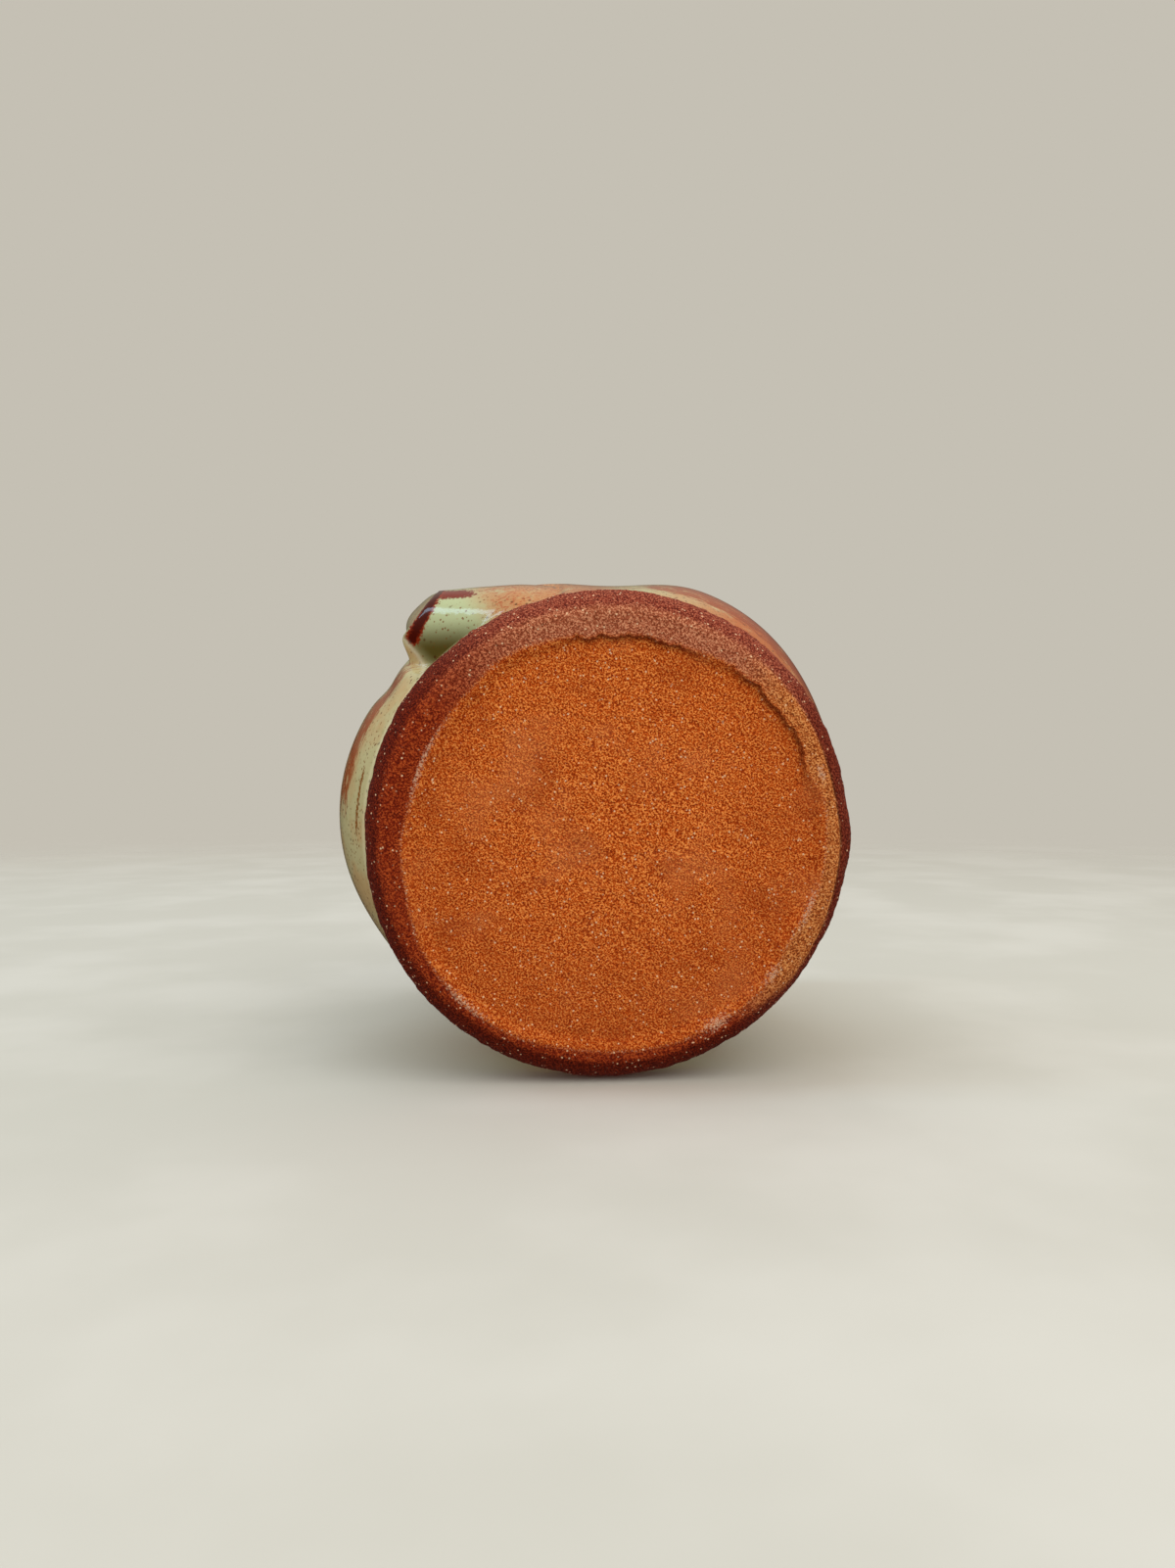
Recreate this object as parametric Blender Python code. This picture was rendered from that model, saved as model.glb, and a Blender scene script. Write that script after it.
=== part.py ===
"""Handmade stoneware cup with a low belly, a bare clay foot and a small strap handle.

Metres, +Z up. The cup stands on its foot ring at Z = 0 and the handle is on the +X side.
A heading is an angle about the cup's axis, in degrees, from +X towards +Y.
"""

import math

import bmesh
import bpy
from mathutils import Vector

# Levels above the table
CUP_HEIGHT = 0.0840
FOOT_HEIGHT = 0.0075
FLARE_LEVEL = 0.0055
BELLY_LEVEL = 0.0270
NECK_LEVEL = 0.0640

# Radii of the finished surface
RECESS_RADIUS = 0.0302
FOOT_RING_RADIUS = 0.0326
FLARE_RADIUS = 0.0368
FOOT_TOP_RADIUS = 0.0362
BELLY_RADIUS = 0.0408
NECK_RADIUS = 0.0336
LIP_RADIUS = 0.0350

# Thicknesses and clearances
RECESS_DEPTH = 0.0009
RECESS_SLOPE = 0.0006
CLAY_WALL = 0.0036
GLAZE = 0.0006
SEAT_GAP = 0.0003
BARE_LIP = 0.0016
COAT = GLAZE + SEAT_GAP

# Hand pressed swellings of the belly: heading, half width in degrees, swell
LOBES = (
    (-50.0, 55.0, 0.0020),
    (77.0, 45.0, 0.0018),
    (40.0, 24.0, -0.0022),
)

# Outline of the handle's smeared lower root at belly level: heading, stand-off from BELLY_RADIUS
ROOT_OUTLINE = (
    (-15.0, 0.0000),
    (-12.0, 0.0012),
    (-9.0, 0.0030),
    (-4.0, 0.0045),
    (1.0, 0.0051),
    (4.0, 0.0048),
    (9.0, 0.0033),
    (15.0, 0.0019),
    (22.0, 0.0006),
    (30.0, -0.0006),
    (38.0, -0.0015),
)
ROOT_FADE = 0.0095

# Strap handle, as the glazed strap measures
STRAP_WIDTH = 0.0104
STRAP_THICK = 0.0056
STRAP_TOP_DROP = 0.0118
STRAP_ROOT_LEVEL = BELLY_LEVEL
STRAP_TOP_LEVEL = CUP_HEIGHT - STRAP_TOP_DROP
STRAP_OFFSET = -0.0018
STRAP_SINK = 0.0010
STRAP_LEAN = 0.0012
STRAP_BEND_INSET = 0.0028
STRAP_BEND_LIFT = 0.0010
FINGER_GAP = 0.0098
COLLAR_LENGTH = 0.0040
COLLAR_FLARE = 1.30
COLLAR_SINK = 0.0030

# Mesh fineness: steps in degrees, then counts
FINE_STEP = 4.0
COARSE_STEP = 10.0
FINE_FROM = -20.0
FINE_TO = 40.0
STRAP_SIDES = 14
STRAP_STATIONS = 15
COLLAR_STATIONS = 5
FLARE_STEPS = 4
LIP_STEPS = 4
SHARP_ANGLE = math.radians(35.0)


def clamp(value):
    return min(max(value, 0.0), 1.0)


def ease(value):
    return 0.5 - 0.5 * math.cos(math.pi * clamp(value))


def bell(distance):
    """One at zero, nothing from one half width outwards."""
    return (0.5 + 0.5 * math.cos(math.pi * min(abs(distance), 1.0))) ** 1.2


def turn_between(heading, centre):
    """Signed angle from centre to heading, in degrees, the short way round."""
    return (heading - centre + 180.0) % 360.0 - 180.0


def point_at(heading, radius, level):
    angle = math.radians(heading)
    return Vector((radius * math.cos(angle), radius * math.sin(angle), level))


def belly_radius(heading):
    swell = sum(size * bell(turn_between(heading, centre) / half) for centre, half, size in LOBES)
    return BELLY_RADIUS + swell


def bare_radius(heading, level):
    """The finished body without the handle's root."""
    belly = belly_radius(heading)
    if level <= BELLY_LEVEL:
        climb = clamp((level - FOOT_HEIGHT) / (BELLY_LEVEL - FOOT_HEIGHT))
        return FOOT_TOP_RADIUS + (belly - FOOT_TOP_RADIUS) * math.sin(0.5 * math.pi * climb)
    if level <= NECK_LEVEL:
        return belly + (NECK_RADIUS - belly) * ease((level - BELLY_LEVEL) / (NECK_LEVEL - BELLY_LEVEL))
    climb = (level - NECK_LEVEL) / (CUP_HEIGHT - NECK_LEVEL)
    return NECK_RADIUS + (LIP_RADIUS - NECK_RADIUS) * climb * climb


def root_reach(heading):
    """How far the handle's root stands off the belly at belly level."""
    turned = turn_between(heading, 0.0)
    for (start, low), (end, high) in zip(ROOT_OUTLINE, ROOT_OUTLINE[1:]):
        if start <= turned <= end:
            stand_off = low + (high - low) * (turned - start) / (end - start)
            return max(BELLY_RADIUS + stand_off - belly_radius(heading), 0.0)
    return 0.0


def root_rise(level):
    """Share of the root's reach at a level: it swells from the foot and fades above the belly."""
    if level <= BELLY_LEVEL:
        return math.sin(0.5 * math.pi * clamp((level - FOOT_HEIGHT) / (BELLY_LEVEL - FOOT_HEIGHT)))
    return 1.0 - ease((level - BELLY_LEVEL) / ROOT_FADE)


def glazed_radius(heading, level):
    return bare_radius(heading, level) + root_reach(heading) * root_rise(level)


def clay_radius(heading, level):
    return bare_radius(heading, level) - COAT


def inner_clay_radius(heading, level):
    return clay_radius(heading, level) - CLAY_WALL


def levels_between(low, high, count):
    return [low + (high - low) * step / (count - 1) for step in range(count)]


def wall_levels(low, high):
    """Levels up the outside, closer together where the handle's root fades out."""
    fade_end = BELLY_LEVEL + ROOT_FADE
    lower = levels_between(low, BELLY_LEVEL, 7)
    root = levels_between(BELLY_LEVEL, fade_end, 5)
    middle = levels_between(fade_end, NECK_LEVEL, 6)
    upper = levels_between(NECK_LEVEL, high, 4)
    return lower + root[1:] + middle[1:] + upper[1:]


def coat_levels():
    return wall_levels(FOOT_HEIGHT + SEAT_GAP, CUP_HEIGHT - BARE_LIP)


def inside_levels(low, high):
    """Levels up the inside of the cup."""
    lower = levels_between(low, BELLY_LEVEL, 6)
    middle = levels_between(BELLY_LEVEL, NECK_LEVEL, 7)
    upper = levels_between(NECK_LEVEL, high, 4)
    return lower + middle[1:] + upper[1:]


def headings():
    """Headings round the cup, close together across the handle's root."""
    fine_count = round((FINE_TO - FINE_FROM) / FINE_STEP)
    coarse_count = round((360.0 - FINE_TO + FINE_FROM) / COARSE_STEP)
    fine = [FINE_FROM + (FINE_TO - FINE_FROM) * step / fine_count for step in range(fine_count)]
    span = 360.0 - FINE_TO + FINE_FROM
    coarse = [FINE_TO + span * step / coarse_count for step in range(coarse_count)]
    return fine + coarse


def material(name, color, roughness):
    made = bpy.data.materials.new(name)
    made.use_nodes = True
    shader = made.node_tree.nodes["Principled BSDF"]
    shader.inputs["Base Color"].default_value = (*color, 1.0)
    shader.inputs["Roughness"].default_value = roughness
    shader.inputs["Metallic"].default_value = 0.0
    return made


def finish_object(name, mesh_builder, finish):
    """Turn a filled bmesh into a smooth shaded object with its faces out."""
    bmesh.ops.recalc_face_normals(mesh_builder, faces=mesh_builder.faces)
    mesh = bpy.data.meshes.new(name)
    mesh_builder.to_mesh(mesh)
    mesh_builder.free()
    mesh.shade_smooth()
    mesh.set_sharp_from_angle(angle=SHARP_ANGLE)
    made = bpy.data.objects.new(name, mesh)
    bpy.context.scene.collection.objects.link(made)
    if finish:
        mesh.materials.append(finish)
    return made


def ring_solid(name, section, finish):
    """Closed band round the axis. section gives a closed loop of radius and level at a heading."""
    builder = bmesh.new()
    loops = []
    for heading in headings():
        loops.append([builder.verts.new(point_at(heading, *spot)) for spot in section(heading)])
    bridge_round(builder, loops, closed=True)
    return finish_object(name, builder, finish)


def disc_solid(name, section, finish):
    """Closed body across the axis. The section's first and last points lie on the axis."""
    builder = bmesh.new()
    spots = section(0.0)
    first = builder.verts.new((0.0, 0.0, spots[0][1]))
    last = builder.verts.new((0.0, 0.0, spots[-1][1]))
    loops = []
    for heading in headings():
        inner_spots = section(heading)[1:-1]
        loops.append([builder.verts.new(point_at(heading, *spot)) for spot in inner_spots])
    bridge_round(builder, loops, closed=False)
    for near, far in zip(loops, loops[1:] + loops[:1]):
        builder.faces.new((first, near[0], far[0]))
        builder.faces.new((last, far[-1], near[-1]))
    return finish_object(name, builder, finish)


def bridge_round(builder, loops, closed):
    for near, far in zip(loops, loops[1:] + loops[:1]):
        bridge(builder, near, far, closed)


def bridge(builder, near, far, closed):
    count = len(near)
    for index in range(count if closed else count - 1):
        following = (index + 1) % count
        builder.faces.new((near[index], near[following], far[following], far[index]))


def sweep_solid(name, loops, finish):
    """Closed body through a row of closed loops, capped at both ends."""
    builder = bmesh.new()
    rings = [[builder.verts.new(spot) for spot in loop] for loop in loops]
    for near, far in zip(rings, rings[1:]):
        bridge(builder, near, far, closed=True)
    builder.faces.new(rings[0])
    builder.faces.new(rings[-1])
    return finish_object(name, builder, finish)


def cut_away(piece, cutter):
    """Take a cutter out of a piece and keep the cutter out of sight."""
    modifier = piece.modifiers.new("seat", "BOOLEAN")
    modifier.operation = "DIFFERENCE"
    modifier.solver = "EXACT"
    modifier.object = cutter
    cutter.hide_render = True
    cutter.display_type = "WIRE"


def base_section(heading):
    """Recess, flat foot ring, flared edge and flat top of the foot slab."""
    flare = FLARE_RADIUS - FOOT_RING_RADIUS
    rounded = []
    for step in range(1, FLARE_STEPS + 1):
        angle = 0.5 * math.pi * step / FLARE_STEPS
        radius = FOOT_RING_RADIUS + flare * math.sin(angle)
        rounded.append((radius, FLARE_LEVEL * (1.0 - math.cos(angle))))
    return [
        (0.0, RECESS_DEPTH),
        (0.5 * RECESS_RADIUS, RECESS_DEPTH),
        (RECESS_RADIUS - RECESS_SLOPE, RECESS_DEPTH),
        (RECESS_RADIUS, 0.0),
        (FOOT_RING_RADIUS, 0.0),
        *rounded,
        (FOOT_TOP_RADIUS, FOOT_HEIGHT),
        (FOOT_TOP_RADIUS - CLAY_WALL - COAT, FOOT_HEIGHT),
        (0.0, FOOT_HEIGHT),
    ]


def wall_section(heading):
    low = FOOT_HEIGHT + SEAT_GAP
    lip_base = CUP_HEIGHT - 0.5 * CLAY_WALL
    outside = [(clay_radius(heading, level), level) for level in wall_levels(low, lip_base)]
    inside = [(inner_clay_radius(heading, level), level) for level in reversed(inside_levels(low, lip_base))]
    lip_radius = 0.5 * (outside[-1][0] + inside[0][0])
    rounding = []
    for step in range(1, LIP_STEPS):
        angle = math.pi * step / LIP_STEPS
        radius = lip_radius + 0.5 * CLAY_WALL * math.cos(angle)
        rounding.append((radius, lip_base + 0.5 * CLAY_WALL * math.sin(angle)))
    return outside + rounding + inside


def outer_glaze_section(heading):
    levels = coat_levels()
    outside = [(glazed_radius(heading, level), level) for level in levels]
    inside = [(glazed_radius(heading, level) - GLAZE, level) for level in reversed(levels)]
    return outside + inside


def inner_glaze_section(heading):
    floor = FOOT_HEIGHT + SEAT_GAP
    levels = inside_levels(floor, CUP_HEIGHT - BARE_LIP)
    backs = [(inner_clay_radius(heading, level) - SEAT_GAP, level) for level in levels]
    raised = inside_levels(floor + GLAZE, CUP_HEIGHT - BARE_LIP)
    faces = [(inner_clay_radius(heading, level) - COAT, level) for level in reversed(raised)]
    return [(0.0, floor), (0.5 * backs[0][0], floor), *backs, *faces, (0.0, floor + GLAZE)]


def block_solid(name, radius_at, finish=None):
    """Everything inside a surface round the axis, as one solid block."""
    levels = coat_levels()

    def section(heading):
        sides = [(radius_at(heading, level), level) for level in levels]
        return [(0.0, levels[0]), *sides, (0.0, levels[-1])]

    return disc_solid(name, section, finish)


def root_clay_radius(heading, level):
    return glazed_radius(heading, level) - COAT


def sleeve_seat(heading, level):
    return glazed_radius(heading, level) + SEAT_GAP


def strap_seat(heading, level):
    return root_clay_radius(heading, level) + SEAT_GAP


def wall_seat(heading, level):
    return clay_radius(heading, level) + SEAT_GAP


def strap_ends():
    """Middle of the strap where it starts inside the root and where it meets the collar."""
    root_surface = glazed_radius(0.0, STRAP_ROOT_LEVEL)
    start = Vector((root_surface - 0.5 * STRAP_THICK - STRAP_SINK, STRAP_OFFSET, STRAP_ROOT_LEVEL))
    collar_face = bare_radius(0.0, STRAP_TOP_LEVEL) + COLLAR_LENGTH
    end = Vector((collar_face, 0.0, STRAP_TOP_LEVEL))
    return start, end


def strap_path():
    """Middle line of the strap and its outward normals, as one smooth cubic curve."""
    start, end = strap_ends()
    far = NECK_RADIUS + FINGER_GAP + 0.5 * STRAP_THICK
    middle = 0.5 * (start + end)
    lower_pull = Vector((far - STRAP_LEAN, middle.y, middle.z - STRAP_BEND_INSET))
    upper_pull = Vector((2.0 * far - end.x - STRAP_BEND_INSET, end.y, end.z + STRAP_BEND_LIFT))
    spots = []
    normals = []
    for step in range(STRAP_STATIONS):
        t = step / (STRAP_STATIONS - 1)
        s = 1.0 - t
        spot = s ** 3 * start + 3 * s * s * t * lower_pull + 3 * s * t * t * upper_pull + t ** 3 * end
        along = s * s * (lower_pull - start) + 2 * s * t * (upper_pull - lower_pull)
        along += t * t * (end - upper_pull)
        spots.append(spot)
        normals.append(Vector((along.z, 0.0, -along.x)).normalized())
    return spots, normals


def strap_loop(spot, normal, width, thick):
    """Rounded strap cross-section, flatter on its broad faces."""
    across = Vector((0.0, 1.0, 0.0))
    loop = []
    for side in range(STRAP_SIDES):
        angle = 2.0 * math.pi * (side + 0.5) / STRAP_SIDES
        share = math.cos(angle)
        lift = math.sin(angle)
        sideways = math.copysign(abs(share) ** 0.7, share)
        outwards = math.copysign(abs(lift) ** 0.8, lift)
        loop.append(spot + across * (0.5 * width * sideways) + normal * (0.5 * thick * outwards))
    return loop


def strap_loops(inset):
    """Cross-sections along the whole strap, drawn in by inset all round."""
    spots, normals = strap_path()
    return [
        strap_loop(spot, normal, STRAP_WIDTH - 2.0 * inset, STRAP_THICK - 2.0 * inset)
        for spot, normal in zip(spots, normals)
    ]


def collar_loops(inset):
    """Clay collar that widens from the strap's end into the wall."""
    spots, normals = strap_path()
    inwards = (spots[-1] - spots[-2]).normalized()
    face = spots[-1] + inwards * SEAT_GAP
    depth = COLLAR_LENGTH + COLLAR_SINK
    loops = []
    for station in range(COLLAR_STATIONS):
        share = station / (COLLAR_STATIONS - 1)
        grow = 1.0 + (COLLAR_FLARE - 1.0) * share * share
        width = STRAP_WIDTH * grow - 2.0 * inset
        thick = STRAP_THICK * (2.0 * grow - 1.0) - 2.0 * inset
        loops.append(strap_loop(face + inwards * (depth * share), normals[-1], width, thick))
    return loops


def handle_glaze_solid(finish):
    """Glaze sleeve round the clay strap, open at both ends."""
    builder = bmesh.new()
    outer = [[builder.verts.new(spot) for spot in loop] for loop in strap_loops(0.0)]
    inner = [[builder.verts.new(spot) for spot in loop] for loop in strap_loops(GLAZE)]
    for rings in (outer, inner):
        for near, far in zip(rings, rings[1:]):
            bridge(builder, near, far, closed=True)
    bridge(builder, outer[0], inner[0], closed=True)
    bridge(builder, outer[-1], inner[-1], closed=True)
    return finish_object("handle_glaze", builder, finish)


def make_body():
    """Foot slab, clay wall and the glaze inside the cup."""
    disc_solid("base_slab", base_section, material("bare_clay", (0.36, 0.085, 0.022), 0.85))
    ring_solid("clay_wall", wall_section, material("wall_clay", (0.26, 0.075, 0.030), 0.80))
    disc_solid("inner_glaze", inner_glaze_section, material("liner_glaze", (0.50, 0.44, 0.26), 0.18))


def make_outer_glaze():
    coat = ring_solid("outer_glaze", outer_glaze_section, material("celadon_glaze", (0.42, 0.37, 0.17), 0.16))
    cut_away(coat, sweep_solid("cut_strap_window", strap_loops(GLAZE), None))
    cut_away(coat, sweep_solid("cut_collar_window", collar_loops(-SEAT_GAP), None))


def make_handle():
    """Lower joint, strap, its glaze sleeve and the upper joint, each cut back to its seat."""
    wall_block = block_solid("cut_wall_seat", wall_seat)
    root = block_solid("lower_joint", root_clay_radius, material("root_clay", (0.22, 0.060, 0.025), 0.80))
    cut_away(root, wall_block)
    strap = sweep_solid("handle_strap", strap_loops(COAT), material("strap_clay", (0.26, 0.075, 0.030), 0.80))
    cut_away(strap, block_solid("cut_strap_seat", strap_seat))
    sleeve = handle_glaze_solid(material("strap_glaze", (0.40, 0.38, 0.20), 0.16))
    cut_away(sleeve, block_solid("cut_sleeve_seat", sleeve_seat))
    collar = sweep_solid("upper_joint", collar_loops(0.0), material("collar_clay", (0.22, 0.060, 0.025), 0.60))
    cut_away(collar, wall_block)


def centre_footprint():
    """Hang every piece on an empty that brings the middle of the outer size over the origin."""
    meshes = [made for made in bpy.data.objects if made.type == "MESH"]
    spots = [vertex.co for made in meshes if not made.hide_render for vertex in made.data.vertices]
    middle_x = 0.5 * (min(spot.x for spot in spots) + max(spot.x for spot in spots))
    middle_y = 0.5 * (min(spot.y for spot in spots) + max(spot.y for spot in spots))
    stand = bpy.data.objects.new("cup_stand", None)
    stand.location = (-middle_x, -middle_y, 0.0)
    bpy.context.scene.collection.objects.link(stand)
    for made in meshes:
        made.parent = stand


def main():
    for existing in list(bpy.data.objects):
        bpy.data.objects.remove(existing, do_unlink=True)
    make_body()
    make_outer_glaze()
    make_handle()
    centre_footprint()


main()
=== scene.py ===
"""Looks for a handmade stoneware cup with a bare clay foot, celadon glaze and a strap handle.

Lengths are in millimetres about the cup's own axis and become metres when a mesh is made.
A heading is an angle about the axis, in degrees, from +X (the handle) towards +Y.
"Up" and "across" are the photograph's directions laid on the table plane: the cup is seen lying on its side.
"""

import math

import bmesh
import bpy
import numpy as np
from mathutils import Matrix, Vector, noise


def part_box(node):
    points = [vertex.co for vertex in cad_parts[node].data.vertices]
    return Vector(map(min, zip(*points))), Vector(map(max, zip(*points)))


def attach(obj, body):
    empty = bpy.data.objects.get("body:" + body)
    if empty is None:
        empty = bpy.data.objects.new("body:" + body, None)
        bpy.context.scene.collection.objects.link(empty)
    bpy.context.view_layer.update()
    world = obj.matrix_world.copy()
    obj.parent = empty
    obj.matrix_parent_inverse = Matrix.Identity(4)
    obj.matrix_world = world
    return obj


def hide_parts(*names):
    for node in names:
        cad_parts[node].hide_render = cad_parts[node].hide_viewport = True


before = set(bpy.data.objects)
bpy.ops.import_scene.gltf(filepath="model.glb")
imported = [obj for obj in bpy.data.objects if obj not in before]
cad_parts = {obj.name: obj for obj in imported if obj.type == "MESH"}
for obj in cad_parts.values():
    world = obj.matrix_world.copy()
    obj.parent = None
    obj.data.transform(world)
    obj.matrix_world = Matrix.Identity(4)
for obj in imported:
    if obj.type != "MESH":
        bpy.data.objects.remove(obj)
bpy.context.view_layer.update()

MM = 0.001
BODY = "root"

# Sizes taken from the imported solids
slab_low, slab_high = (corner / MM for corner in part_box("base_slab"))
AXIS = 0.5 * (slab_low + slab_high)
AXIS_SPOT = Vector((AXIS.x, AXIS.y, 0.0))
CUP_HEIGHT = (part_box("clay_wall")[1] / MM).z
FOOT_HEIGHT = slab_high.z

# Levels above the table
FLARE_LEVEL = 5.5
BELLY_LEVEL = 27.0
NECK_LEVEL = 64.0

# Radii of the finished surface
FOOT_TOP_RADIUS = 36.2
BELLY_RADIUS = 40.8
NECK_RADIUS = 33.6
LIP_RADIUS = 35.0

# Thicknesses
CLAY_WALL = 3.6
COAT = 0.9
GLAZE_SKIN = 0.5
BARE_LIP = 2.3
SEAT = 0.3
GLAZE_TOP = CUP_HEIGHT - BARE_LIP

# Hand pressed swellings of the belly: heading, half width in degrees, swell
LOBES = ((-46.0, 50.0, 2.0), (-96.0, 42.0, -1.5), (77.0, 45.0, 1.8), (40.0, 24.0, -1.8))

# The photograph's directions on the table plane
UP_HEADING = 38.1
UP = Vector((math.cos(math.radians(UP_HEADING)), math.sin(math.radians(UP_HEADING)), 0.0))
ACROSS = Vector((-UP.y, UP.x, 0.0))

# Camera: place from the cup's axis, axes, and the phone's lens
CAMERA_PLACE = Vector((26.726, 0.926, -163.061))
CAMERA_RIGHT = Vector((-0.6112, 0.7880, -0.0747))
CAMERA_UP = Vector((0.7838, 0.6156, 0.0816))
LENS = 26.0
SENSOR = 36.0


# Shape functions, for single values and for arrays

BELL_POWER = 1.2
PHASE_HASH = (12.9898, 78.233, 43758.5453)


def ease(value):
    return 0.5 - 0.5 * np.cos(np.pi * np.clip(value, 0.0, 1.0))


def bell(distance):
    return (0.5 + 0.5 * np.cos(np.pi * np.minimum(np.abs(distance), 1.0))) ** BELL_POWER


def line_mask(value, centre, width):
    """One on a line, falling off on both sides of it."""
    return np.exp(-(((value - centre) / width) ** 2))


def turned(heading, centre):
    return (heading - centre + 180.0) % 360.0 - 180.0


def heading_hump(heading, centre, half):
    return ease(1.0 - np.abs(turned(heading, centre)) / half)


def facing(heading, centre, half, fade):
    """One near a heading, fading to nothing at the half width away from it."""
    return ease((half - np.abs(turned(heading, centre))) / fade)


def rises(value, start, fade):
    """Nothing up to start, then growing to one over the fade."""
    return ease((value - start) / fade)


def falls(value, end, fade):
    """One that fades to nothing, which it reaches at end."""
    return ease((end - value) / fade)


def mix(low, high, share):
    return low + (high - low) * share


def round_outline(heading, knots):
    """Radius at a heading, eased between (heading, radius) knots all the way round."""
    knots = sorted(knots)
    first_heading, first_radius = knots[0]
    heads, radii = map(np.array, zip(*knots, (first_heading + 360.0, first_radius)))
    angle = (np.asarray(heading, float) - heads[0]) % 360.0 + heads[0]
    index = np.clip(np.searchsorted(heads, angle, side="right") - 1, 0, len(knots) - 1)
    share = (angle - heads[index]) / (heads[index + 1] - heads[index])
    return mix(radii[index], radii[index + 1], ease(share))


def wobble(heading, waves, seed):
    """Smooth unevenness round the cup, between about -1 and 1."""
    by_seed, by_order, spread = PHASE_HASH
    total = 0.0
    for order, size in waves:
        phase = math.sin(seed * by_seed + order * by_order) * spread
        total = total + size * np.sin(np.radians(heading) * order + phase)
    return total


def belly_radius(heading):
    return BELLY_RADIUS + sum(size * bell(turned(heading, centre) / half) for centre, half, size in LOBES)


def bare_radius(heading, level):
    """The finished body without the handle's root."""
    belly = belly_radius(heading)
    climb = np.clip((level - FOOT_HEIGHT) / (BELLY_LEVEL - FOOT_HEIGHT), -0.2, 1.0)
    low = FOOT_TOP_RADIUS + (belly - FOOT_TOP_RADIUS) * np.sin(0.5 * np.pi * climb)
    middle = belly + (NECK_RADIUS - belly) * ease((level - BELLY_LEVEL) / (NECK_LEVEL - BELLY_LEVEL))
    rise = np.maximum(level - NECK_LEVEL, 0.0) / (CUP_HEIGHT - NECK_LEVEL)
    high = NECK_RADIUS + (LIP_RADIUS - NECK_RADIUS) * rise * rise
    return np.where(level <= BELLY_LEVEL, low, np.where(level <= NECK_LEVEL, middle, high))


# The glazed surface lies this far inside the solid's outline
INSET = 0.15

# Notch beside the handle's root. A low or high level comes with its fade
NOTCH_HEADING = -19.3
NOTCH_DEPTH = 0.6
NOTCH_WIDTH = 4.0
NOTCH_LOW = (12.0, 8.0)
NOTCH_HIGH = (46.0, 16.0)

# Hollow under the root: heading, half width and fade, then depth and levels
DENT_PLACE = (8.0, 22.0, 6.0)
DENT_DEPTH = 2.3
DENT_LOW = (8.8, 6.5)
DENT_HIGH = (25.0, 6.0)

# Throwing rings and unevenness of the upper body, which the photograph doesn't show
UPPER_LOW = (30.0, 12.0)
RING_PITCH = 5.3
RING_DEPTH = 0.03
RING_LEAN = 1.1
UNEVEN_DEPTH = 0.16
UNEVEN_WAVES = ((2, 0.8), (3, 0.6), (5, 0.3))
UPPER_INSET = 0.2


def body_radius(heading, level):
    """The glazed surface: the bare shape with its notch and hollow at the handle, rings and unevenness."""
    radius = bare_radius(heading, level) - INSET
    notch = line_mask(turned(heading, NOTCH_HEADING), 0.0, NOTCH_WIDTH)
    notch = notch * rises(level, *NOTCH_LOW) * falls(level, *NOTCH_HIGH)
    dent = DENT_DEPTH * facing(heading, *DENT_PLACE)
    dent = dent * rises(level, *DENT_LOW) * falls(level, *DENT_HIGH)
    above = rises(level, *UPPER_LOW)
    leaning = level + RING_LEAN * np.sin(np.radians(heading))
    rings = RING_DEPTH * above * np.sin(2.0 * np.pi * leaning / RING_PITCH)
    uneven = UNEVEN_DEPTH * above * wobble(heading, UNEVEN_WAVES, 3)
    return radius - NOTCH_DEPTH * notch - dent + rings - RING_DEPTH * above + uneven - UPPER_INSET * above


# Meshes

def linked(name, data):
    made = bpy.data.objects.new(name, data)
    bpy.context.scene.collection.objects.link(made)
    return made


def to_mesh(name, points, faces):
    """Object from points in millimetres about the cup's axis."""
    spots = np.asarray(points, float).reshape(-1, 3) + np.array(AXIS_SPOT)
    mesh = bpy.data.meshes.new(name)
    mesh.from_pydata((spots * MM).tolist(), [], faces)
    mesh.update()
    mesh.shade_smooth()
    return linked(name, mesh)


def polar(heading, radius, level):
    angle = np.radians(heading)
    return np.stack((radius * np.cos(angle), radius * np.sin(angle), level + 0.0 * angle), axis=-1)


def loft_faces(rows, columns, close_rows, close_columns):
    """Quads over a grid of points stored row by row."""
    faces = []
    for row in range(rows if close_rows else rows - 1):
        following = (row + 1) % rows
        for column in range(columns if close_columns else columns - 1):
            beside = (column + 1) % columns
            faces.append((row * columns + column, following * columns + column,
                          following * columns + beside, row * columns + beside))
    return faces


def turned_solid(name, grid, closed):
    """Solid from a grid of headings by section points. Open sections are capped with fans on the axis."""
    rows, columns = grid.shape[:2]
    faces = loft_faces(rows, columns, True, closed)
    points = grid.reshape(-1, 3)
    if not closed:
        first, last = grid[:, 0].mean(axis=0), grid[:, -1].mean(axis=0)
        points = np.vstack((points, first, last))
        for row in range(rows):
            following = (row + 1) % rows
            faces.append((len(points) - 2, following * columns, row * columns))
            faces.append((len(points) - 1, row * columns + columns - 1, following * columns + columns - 1))
    return fix_normals(to_mesh(name, points, faces))


def swept_solid(name, loops):
    """Solid through a row of closed loops, capped at both ends."""
    rows, columns = len(loops), len(loops[0])
    faces = loft_faces(rows, columns, False, True)
    faces.append(tuple(range(columns)))
    faces.append(tuple(range((rows - 1) * columns, rows * columns)))
    return fix_normals(to_mesh(name, np.array(loops), faces))


def fix_normals(made):
    builder = bmesh.new()
    builder.from_mesh(made.data)
    bmesh.ops.recalc_face_normals(builder, faces=builder.faces)
    builder.to_mesh(made.data)
    builder.free()
    return made


def read_points(mesh):
    flat = np.empty(len(mesh.vertices) * 3)
    mesh.vertices.foreach_get("co", flat)
    return flat.reshape(-1, 3) / MM - np.array(AXIS_SPOT)


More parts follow.
